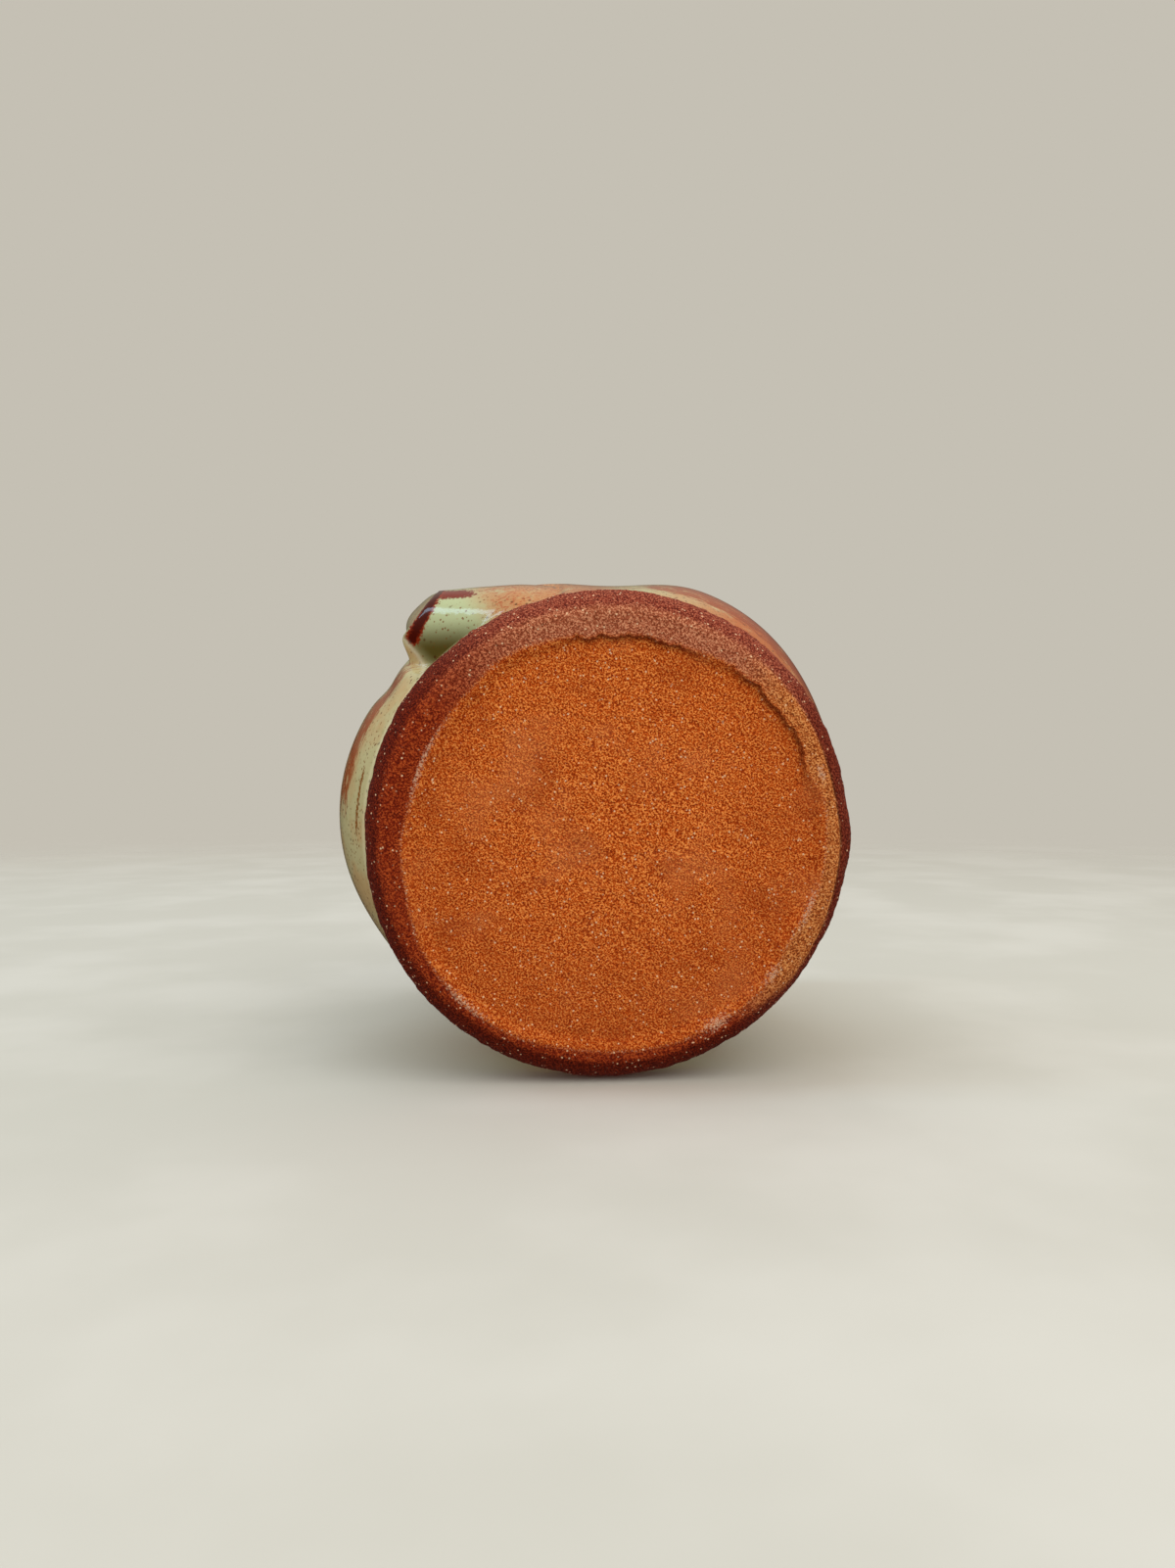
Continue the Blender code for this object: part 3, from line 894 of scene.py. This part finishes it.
class Graph:
    """Adds nodes to a tree. An input is a link or a plain value, by place or by name."""

    def __init__(self, tree):
        self.tree = tree

    def put(self, socket, value):
        if hasattr(value, "is_linked"):
            self.tree.links.new(value, socket)
        else:
            socket.default_value = value

    def add(self, kind, inputs=None, output=0, **settings):
        """New node, given back as one of its outputs, or whole when output is None."""
        made = self.tree.nodes.new(kind)
        for name, value in settings.items():
            setattr(made, name, value)
        for key, value in (inputs or {}).items():
            self.put(made.inputs[key], value)
        return made if output is None else made.outputs[output]

    def math(self, operation, first, second=0.0, third=0.0):
        return self.add("ShaderNodeMath", {0: first, 1: second, 2: third}, operation=operation)

    def vector_math(self, operation, first, second, output=0):
        return self.add("ShaderNodeVectorMath", {0: first, 1: second}, output, operation=operation)

    def ranged(self, value, limits, **settings):
        """Value carried from the range of the first two limits to that of the last two."""
        return self.add("ShaderNodeMapRange", dict(enumerate((value, *limits))), **settings)


class Surface(Graph):
    """Node material, with places in millimetres about the cup's axis."""

    def __init__(self, name):
        self.material = bpy.data.materials.new(name)
        self.material.use_nodes = True
        super().__init__(self.material.node_tree)
        self.shader = self.tree.nodes["Principled BSDF"]
        spot = self.add("ShaderNodeTexCoord", output="Object")
        inputs = {0: spot, 1: (1.0 / MM,) * 3, 2: (-AXIS.x, -AXIS.y, 0.0)}
        self.place = self.add("ShaderNodeVectorMath", inputs, operation="MULTIPLY_ADD")

    def finish(self, inputs):
        for name, value in inputs.items():
            self.put(self.shader.inputs[name], value)
        return self.material

    def attribute(self, name):
        return self.add("ShaderNodeAttribute", output="Fac", attribute_name=name)

    def scaled(self, value, factor):
        return self.math("MULTIPLY", value, factor)

    def stretched(self, factors):
        return self.vector_math("MULTIPLY", self.place, factors)

    def distance(self, centre):
        return self.vector_math("DISTANCE", self.place, centre, "Value")

    def noise(self, scale, detail=2.0, rough=0.5, vector=None):
        inputs = {"Vector": vector or self.place, "Scale": scale, "Detail": detail, "Roughness": rough}
        return self.add("ShaderNodeTexNoise", inputs)

    def swing(self, height, *noise):
        """Noise about zero, as high as given."""
        return self.scaled(self.math("SUBTRACT", self.noise(*noise), 0.5), height)

    def between(self, value, start, full):
        """Nothing at start and one at full, eased between them. Start may be the higher of the two."""
        return self.ranged(value, (start, full, 0.0, 1.0), interpolation_type="SMOOTHSTEP")

    def patches(self, scale, detail, rough, start, full, vector=None):
        return self.between(self.noise(scale, detail, rough, vector), start, full)

    def spots(self, scale, edge, core, vector=None):
        cells = {"Vector": vector or self.place, "Scale": scale}
        return self.between(self.add("ShaderNodeTexVoronoi", cells, "Distance"), edge, core)

    def blend(self, first, second, share):
        return self.add("ShaderNodeMix", {0: share, 6: first, 7: second}, 2, data_type="RGBA")

    def tinted(self, color, mask, tone, strength=1.0):
        """Colour with a plain tone laid over it where the mask is."""
        return self.blend(color, rgb(tone), self.scaled(mask, strength))

    def speckled(self, color, spots, patches, tone, strength):
        """Colour with small specks, which come in patches."""
        specks = self.scaled(self.spots(*spots), self.patches(*patches))
        return self.tinted(color, specks, tone, strength)

    def bumped(self, height, distance, strength=1.0):
        inputs = {"Strength": strength, "Distance": distance * MM, "Height": height}
        return self.add("ShaderNodeBump", inputs)


# Clay tones, each from the dark of the grain to its light
RECESS_TONES = ("8a2c06", "c85614", "f49648")
LAND_TONES = ("7c3c22", "a2563a", "cf8c68")
# The toasted tones are the darker fired side, and also painted shade on the side turned from the light
LAND_TOASTED = ("5c1407", "7e220a", "a8441a")
LAND_TAN = ("783410", "b25e28", "de9656")
FLANK_TONES = ("561f15", "80301e", "ae6246")
# Darker fired flank, also painted shade on the side turned from the light
FLANK_TOASTED = ("400b02", "581304", "7a260a")
LIP_TONES = ("7a3a1c", "9a5630", "c08a5c")

# Noise of the grain, and where its middle and its light tone start and are full
GRAIN = (3.6, 2.0, 0.6)
FINE_GRAIN = (5.5, 2.0, 0.6)
GRAIN_MIDDLE = (0.395, 0.48)
GRAIN_LIGHT = (0.51, 0.60)

# Tones laid over the clay, with their strength
PALE_CLOUDS = ("cc7440", 0.34)
CHALK = ("dcae8c", 0.75)
PITS = ("4a1606", 0.7)
# Painted shade in the crease and under the torn edge
CRACKS = ("48130a", 0.8)

# Patches: noise scale per millimetre, detail, roughness, and where they start and are full
CLAY_CLOUDS = (0.085, 3.0, 0.5, 0.50, 0.68)
CLAY_SHADES = (0.11, 2.0, 0.5, 0.52, 0.72)
CRACK_PATCHES = (0.7, 3.0, 0.6, 0.30, 0.50)
FLANK_NOISE = (0.5, 3.0, 0.6)
CHALK_NOISE = (2.6, 4.0, 0.75)

# Specks: scale, edge and core of each, then patches, tone and strength
GRIT = ((1.2, 0.22, 0.12), (0.8, 1.0, 0.5, 0.44, 0.58), "f0c79c", 0.85)
IRON_SPECKS = ((0.75, 0.24, 0.12), (0.25, 1.0, 0.5, 0.42, 0.56), "4c2c10", 0.85)
IRON_DOTS = ((1.3, 0.30, 0.16), (0.3, 2.0, 0.5, 0.42, 0.54), "6e3810", 0.85)
PIT_SPOTS = (0.9, 0.12, 0.05)

# How strongly the recess darkens: in patches, as painted shade away from its lit middle towards its edges
# and lower side, and along the wire cut arcs
SHADING, DIMMING, WIRE_CUTS = 0.3, 0.3, 0.16
PALE_CENTRE = UP * 8.0
PALE_REACH = (12.0, 40.0)
WIRE_CENTRE = ACROSS * -30.0 + UP * -75.0
WIRE_RATE = 3.6


def clay_surface(name, recess_tones):
    """Bare grogged stoneware with sandy grain, wire cut arcs, chalk, grit and pits, and with painted shade
    towards the recess's edges, on the side turned from the light, in the crease and under the torn edge, and
    a painted highlight along the ridge.
    """
    s = Surface(name)
    grain = s.noise(*GRAIN)
    middle_share = s.between(grain, *GRAIN_MIDDLE)
    light_share = s.between(grain, *GRAIN_LIGHT)

    def graded(tones):
        dark, middle, light = (rgb(tone) for tone in tones)
        return s.blend(s.blend(dark, middle, middle_share), light, light_share)

    color = s.tinted(graded(recess_tones), s.patches(*CLAY_CLOUDS), *PALE_CLOUDS)
    shade = s.patches(*CLAY_SHADES, s.stretched((1.0, 1.3, 1.0)))
    # Painted shade: darker away from the recess's lit middle, towards its edges and lower side; the bare
    # lip, far from it, takes all of it
    dim = s.between(s.distance(PALE_CENTRE), *PALE_REACH)
    wire = s.math("SINE", s.scaled(s.distance(WIRE_CENTRE), WIRE_RATE))
    cuts = s.between(wire, 0.3, 1.0)
    for mask, strength in ((shade, SHADING), (dim, DIMMING), (cuts, WIRE_CUTS)):
        color = s.tinted(color, mask, recess_tones[0], strength)
    # Land, and the flank with its patchy beginning, darker where fired dark and under the painted shade on
    # the side turned from the light
    toast = s.attribute("toast")
    land = s.blend(graded(LAND_TONES), graded(LAND_TOASTED), toast)
    land = s.blend(land, graded(LAND_TAN), s.attribute("tan"))
    color = s.blend(color, land, s.scaled(s.attribute("ring"), 0.92))
    flank = s.blend(graded(FLANK_TONES), graded(FLANK_TOASTED), toast)
    out = s.math("SUBTRACT", s.attribute("flank"), 0.35)
    patchy = s.math("MULTIPLY_ADD", s.noise(*FLANK_NOISE), 0.7, out)
    color = s.blend(color, flank, s.between(patchy, 0.1, 0.9))
    # Chalk and a painted highlight on the ridge, chalk on the rubs, then grit, pits, and painted shade in
    # the crease and under the torn edge
    ridge = s.attribute("ridge")
    rubs = s.attribute("rubs")
    chalk = s.math("MAXIMUM", s.scaled(ridge, 0.5), s.scaled(rubs, 0.8))
    chalk = s.between(s.math("ADD", chalk, s.swing(3.0, *CHALK_NOISE)), 0.55, 0.95)
    chalk = s.scaled(chalk, s.between(s.math("MAXIMUM", ridge, rubs), 0.05, 0.4))
    color = s.tinted(color, chalk, *CHALK)
    color = s.speckled(color, *GRIT)
    pits = s.spots(*PIT_SPOTS, s.stretched((1.1, 1.0, 0.9)))
    color = s.tinted(color, pits, *PITS)
    # Painted shade in the crease, broken into patches, and painted shadow under the torn edge
    broken = s.scaled(s.attribute("crease"), s.patches(*CRACK_PATCHES))
    color = s.tinted(color, s.math("MAXIMUM", s.attribute("tear"), broken), *CRACKS)
    relief = s.math("ADD", s.scaled(s.noise(*FINE_GRAIN), 0.4), s.scaled(wire, 0.03))
    normal = s.bumped(s.math("ADD", grain, relief), 0.3)
    return s.finish({"Base Color": color, "Roughness": 0.88, "Specular IOR Level": 0.08, "Normal": normal})


# Each glaze's main tone and the tone of the soft clouds in it
CELADON = ("b4a87a", "b69868")
LINER = ("b2b184", "bfb083")

# Tones laid over the glaze, with their strength
MOTTLE = ("7f8048", 0.35)
POOLED_GREEN = ("a9ae82", 1.0)
THIN_PEACH = ("ac5c28", 1.0)
FRECKLES = ("9c4420", 0.8)
# Dark pooled glaze, with painted shade under the root
DARK_POOL = ("4e3e04", 0.95)
RUST_SPOTS = ("94501f", 0.35)
BELLY_BREAK = ("8c3606", 0.9)
# Painted highlights along the rolled edge above the foot and along the crease under the root
PALE_ROLL = ("d9cfa8", 0.45)
PALE_TUCK = ("c9bda0", 0.7)

# Patches and noises of the glaze
GLAZE_CLOUDS = (0.11, 3.0, 0.55, 0.42, 0.60)
MOTTLE_PATCHES = (0.9, 3.0, 0.6, 0.5, 0.8)
PEACH_PATCHES = (0.35, 3.0, 0.6, 0.16, 0.50)
FRECKLE_PATCHES = (1.5, 4.0, 0.7, 0.52, 0.60)
RUST_PATCHES = (1.6, 4.0, 0.75, 0.60, 0.70)
RAGGED_NOISE = (1.9, 5.0, 0.75)
DASH_NOISE = (1.0, 4.0, 0.7)
RIPPLE_NOISE = (0.45, 2.0, 0.5)

# Ragged marks in the glaze: mask, colour, and where the mask starts and is full
GLAZE_MARKS = (
    ("inner_line", "7e4a1c", 0.70, 0.95),
    ("streak", "6c1604", 0.46, 0.70),
    ("arris", "7c2208", 0.30, 0.54),
    ("arris", "420c04", 0.56, 0.80),
)


def glaze_surface(name, tone, cloud_tone, masked):
    """Celadon over iron bearing clay: it pools green, thins to peach and breaks rust brown on edges. Where
    masked it also carries painted shade under the root and painted highlights along the crease and the
    rolled edge.
    """
    s = Surface(name)
    color = s.blend(rgb(tone), rgb(cloud_tone), s.patches(*GLAZE_CLOUDS))
    color = s.tinted(color, s.patches(*MOTTLE_PATCHES), *MOTTLE)
    if masked:
        peach = s.scaled(s.attribute("peach"), s.patches(*PEACH_PATCHES))
        freckles = s.scaled(s.attribute("freckle"), s.patches(*FRECKLE_PATCHES))
        color = s.tinted(color, s.attribute("green"), *POOLED_GREEN)
        color = s.tinted(color, peach, *THIN_PEACH)
        color = s.tinted(color, freckles, *FRECKLES)
        # Dark pooled glaze and painted shade under the root
        color = s.tinted(color, s.attribute("pool"), *DARK_POOL)
    color = s.speckled(color, *IRON_SPECKS)
    color = s.speckled(color, *IRON_DOTS)
    color = s.tinted(color, s.patches(*RUST_PATCHES), *RUST_SPOTS)
    if masked:
        dashes = s.swing(3.0, *DASH_NOISE, s.stretched((0.35, 0.35, 1.6)))
        dashes = s.between(s.math("ADD", s.attribute("belly_break"), dashes), 0.42, 0.96)
        color = s.tinted(color, dashes, *BELLY_BREAK)
        ragged = s.swing(1.5, *RAGGED_NOISE)
        for mask, rust_tone, start, full in GLAZE_MARKS:
            mark = s.math("ADD", s.attribute(mask), ragged)
            color = s.tinted(color, s.between(mark, start, full), rust_tone)
        # Painted highlights along the rolled edge and the crease
        color = s.tinted(color, s.attribute("roll"), *PALE_ROLL)
        color = s.tinted(color, s.attribute("tuck"), *PALE_TUCK)
    normal = s.bumped(s.noise(*RIPPLE_NOISE), 0.10, 0.5)
    return s.finish({"Base Color": color, "Roughness": 0.08, "IOR": 1.45, "Specular IOR Level": 0.25,
                     "Normal": normal})


# Stage, lights and camera

# The lying floor touches the flare at this heading, radius and level
RESTING_POINT = (-142.0, 36.8, 5.0)
FLOOR_NORMAL = CAMERA_UP.normalized()
STANDING_DROP = 0.2
STAGE_REACH = 900.0
STAGE_FADE = 0.35
BACKDROP = "c5c0b4"
LYING_FLOOR = "b5b0a4"
STANDING_FLOOR = "c6c1b6"
FLOOR_PATCHES = (0.02, 4.0, 0.5, 0.4, 0.7)
FLOOR_CLOUDS = ("cfcac0", 0.25)

# Daylight's colour, then a range from the lower side to the upper and its strengths, lit and mirrored
DAYLIGHT = (1.0, 0.985, 0.96, 1.0)
DAYLIGHT_RANGE = (-1.0, 1.0, 0.32, 1.28)
MIRRORED_RANGE = (0.1, 0.7, 0.05, 1.0)


def floor_surface(name, tone, centre):
    """Backdrop finish that only the camera sees: pale, and clear from behind and past its soft edge."""
    s = Surface(name)
    color = s.tinted(rgb(tone), s.patches(*FLOOR_PATCHES), *FLOOR_CLOUDS)
    s.finish({"Base Color": color, "Roughness": 1.0, "Specular IOR Level": 0.0})
    shown = s.between(s.distance(centre), STAGE_REACH, STAGE_FADE * STAGE_REACH)
    front = s.math("SUBTRACT", 1.0, s.add("ShaderNodeNewGeometry", output="Backfacing"))
    clear = s.add("ShaderNodeBsdfTransparent")
    joined = s.add("ShaderNodeMixShader", {0: s.scaled(shown, front), 1: clear, 2: s.shader.outputs[0]})
    s.put(s.tree.nodes["Material Output"].inputs[0], joined)
    return s.material


def stage_disc(name, centre, normal, tone):
    """Round floor that only the camera sees, so that it never shades or tints the cup."""
    builder = bmesh.new()
    bmesh.ops.create_circle(builder, cap_ends=True, segments=96, radius=STAGE_REACH * MM)
    mesh = bpy.data.meshes.new(name)
    builder.to_mesh(mesh)
    builder.free()
    turn = normal.to_track_quat("Z", "Y").to_matrix().to_4x4()
    spot = Matrix.Translation((AXIS_SPOT + centre) * MM)
    mesh.transform(spot @ turn)
    made = linked(name, mesh)
    mesh.materials.append(floor_surface("pale_" + name, tone, centre))
    for ray in ("diffuse", "glossy", "transmission", "shadow", "volume_scatter"):
        setattr(made, "visible_" + ray, False)


def make_stage():
    lying = Vector(polar(*RESTING_POINT))
    stage_disc("lying_floor", lying, FLOOR_NORMAL, LYING_FLOOR)
    standing = Vector((0.0, 0.0, -STANDING_DROP))
    stage_disc("standing_floor", standing, Vector((0.0, 0.0, 1.0)), STANDING_FLOOR)


def make_world():
    """Plain backdrop for the camera and in mirrors, and soft light that is stronger from the upper side."""
    world = bpy.data.worlds.new("soft_daylight")
    bpy.context.scene.world = world
    world.use_nodes = True
    world.node_tree.nodes.clear()
    g = Graph(world.node_tree)
    direction = g.add("ShaderNodeTexCoord", output="Generated")
    upward = g.vector_math("DOT_PRODUCT", direction, FLOOR_NORMAL, "Value")
    strength = g.ranged(upward, DAYLIGHT_RANGE)
    light = g.add("ShaderNodeBackground", {"Color": DAYLIGHT, "Strength": strength})
    rays = g.add("ShaderNodeLightPath", output=None).outputs
    shown = rays["Is Camera Ray"]
    strength = g.math("MAXIMUM", g.ranged(upward, MIRRORED_RANGE), shown)
    seen = g.add("ShaderNodeBackground", {"Color": rgb(BACKDROP), "Strength": strength})
    for kind in ("Is Glossy Ray", "Is Transmission Ray"):
        shown = g.math("MAXIMUM", shown, rays[kind])
    chosen = g.add("ShaderNodeMixShader", {0: shown, 1: light, 2: seen})
    g.add("ShaderNodeOutputWorld", {0: chosen}, None)


def soft_lamp(name, direction, distance, size, power, color=(1.0, 1.0, 1.0)):
    """Area lamp that faces the middle of the cup, with its long side across the photograph."""
    data = bpy.data.lights.new(name, "AREA")
    data.shape = "RECTANGLE"
    data.size = size[0] * MM
    data.size_y = size[1] * MM
    data.energy = power
    data.color = color
    lamp = linked(name, data)
    middle = Vector((AXIS.x, AXIS.y, 0.4 * CUP_HEIGHT)) * MM
    back = direction.normalized()
    lamp.location = middle + back * distance * MM
    up = back.cross(ACROSS).normalized()
    lamp.rotation_mode = "QUATERNION"
    lamp.rotation_quaternion = Matrix((up.cross(back), up, back)).transposed().to_quaternion()
    lamp.visible_camera = False
    return lamp


def make_lights():
    """The window strip gives the glaze its highlight; the two large lamps only fill."""
    soft_lamp("window", UP * 0.88 - ACROSS * 0.42 + Vector((0.0, 0.0, 0.06)),
              distance=900.0, size=(1040.0, 128.0), power=3.4, color=(0.52, 0.78, 1.0))
    sky = soft_lamp("sky", FLOOR_NORMAL + 0.55 * ACROSS + Vector((0.0, 0.0, -0.75)),
                    distance=480.0, size=(420.0, 380.0), power=0.8)
    room = soft_lamp("room", Vector((-0.3, -0.5, 0.9)), distance=520.0, size=(420.0, 420.0), power=0.35)
    sky.visible_glossy = False
    room.visible_glossy = False


def make_camera():
    data = bpy.data.cameras.new("photo_camera")
    data.lens = LENS
    data.sensor_width = SENSOR
    data.sensor_fit = "AUTO"
    data.clip_start = 0.005
    data.clip_end = 20.0
    camera = linked("photo_camera", data)
    right = CAMERA_RIGHT.normalized()
    back = right.cross(CAMERA_UP).normalized()
    up = back.cross(right)
    turn = Matrix((right, up, back)).transposed().to_4x4()
    place = (AXIS_SPOT + CAMERA_PLACE) * MM
    camera.matrix_world = Matrix.Translation(place) @ turn
    bpy.context.scene.camera = camera


def dress(made, finish, slot, *nodes):
    made.data.materials.clear()
    made.data.materials.append(finish)
    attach(made, BODY)
    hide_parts(*nodes)


def main():
    bpy.context.scene.view_settings.view_transform = "Standard"
    make_camera()
    make_world()
    make_lights()
    make_stage()
    clay = clay_surface("foot_bare_clay", RECESS_TONES)
    lip_clay = clay_surface("lip_bare_clay", LIP_TONES)
    celadon = glaze_surface("celadon_glaze", *CELADON, masked=True)
    liner = glaze_surface("liner_glaze", *LINER, masked=False)
    dress(make_foot(), clay, "bare_clay", "base_slab")
    dress(make_glazed_body(), celadon, "celadon_glaze",
          "outer_glaze", "handle_glaze", "lower_joint", "handle_strap", "upper_joint")
    dress(turned_sections("clay_wall_lip", WALL_HEADINGS, wall_section, closed=True),
          lip_clay, "body_clay", "clay_wall")
    dress(turned_sections("glaze_liner", LINER_HEADINGS, liner_section, closed=False),
          liner, "liner_glaze", "inner_glaze")


main()
